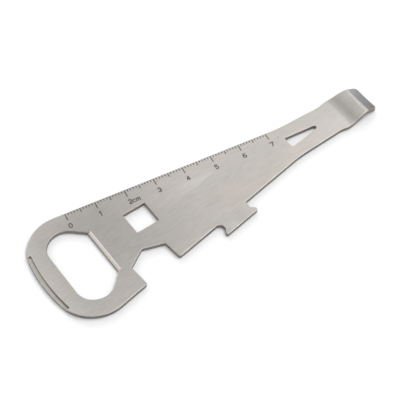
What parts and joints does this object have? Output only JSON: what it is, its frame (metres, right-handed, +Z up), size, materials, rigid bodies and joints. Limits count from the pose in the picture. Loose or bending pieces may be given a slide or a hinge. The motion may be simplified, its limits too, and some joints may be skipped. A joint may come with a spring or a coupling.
{
  "type": "painters multi tool",
  "caption": "Flat stamped steel hand tool with an opener loop, spanner jaw, square key hole, hooked tooth, engraved rule and bent pry tip.",
  "frame": {"origin": "middle of the tool's bounding box, on the plane of its underside", "axes": "+X along the tool's axis from the handle loop to the pry tip, +Y towards the ruled edge, +Z up out of the ruled face"},
  "size_m": [0.1246, 0.0386, 0.003],
  "materials": {
    "steel": "fine brushed grain along the length, edges broken",
    "engraving": "matte dark lining of the engraved marks"
  },
  "bodies": {
    "root": {"tool_plate": "steel", "mark_0cm": "engraving", "mark_5mm": "engraving", "mark_1cm": "engraving", "mark_15mm": "engraving", "mark_2cm": "engraving", "mark_25mm": "engraving", "mark_3cm": "engraving", "mark_35mm": "engraving", "mark_4cm": "engraving", "mark_45mm": "engraving", "mark_5cm": "engraving", "mark_55mm": "engraving", "mark_6cm": "engraving", "mark_65mm": "engraving", "mark_7cm": "engraving", "figure_0": "engraving", "figure_1": "engraving", "figure_2": "engraving", "figure_3": "engraving", "figure_4": "engraving", "figure_5": "engraving", "figure_6": "engraving", "figure_7": "engraving", "letter_c": "engraving", "letter_m": "engraving"}
  },
  "joints": []
}
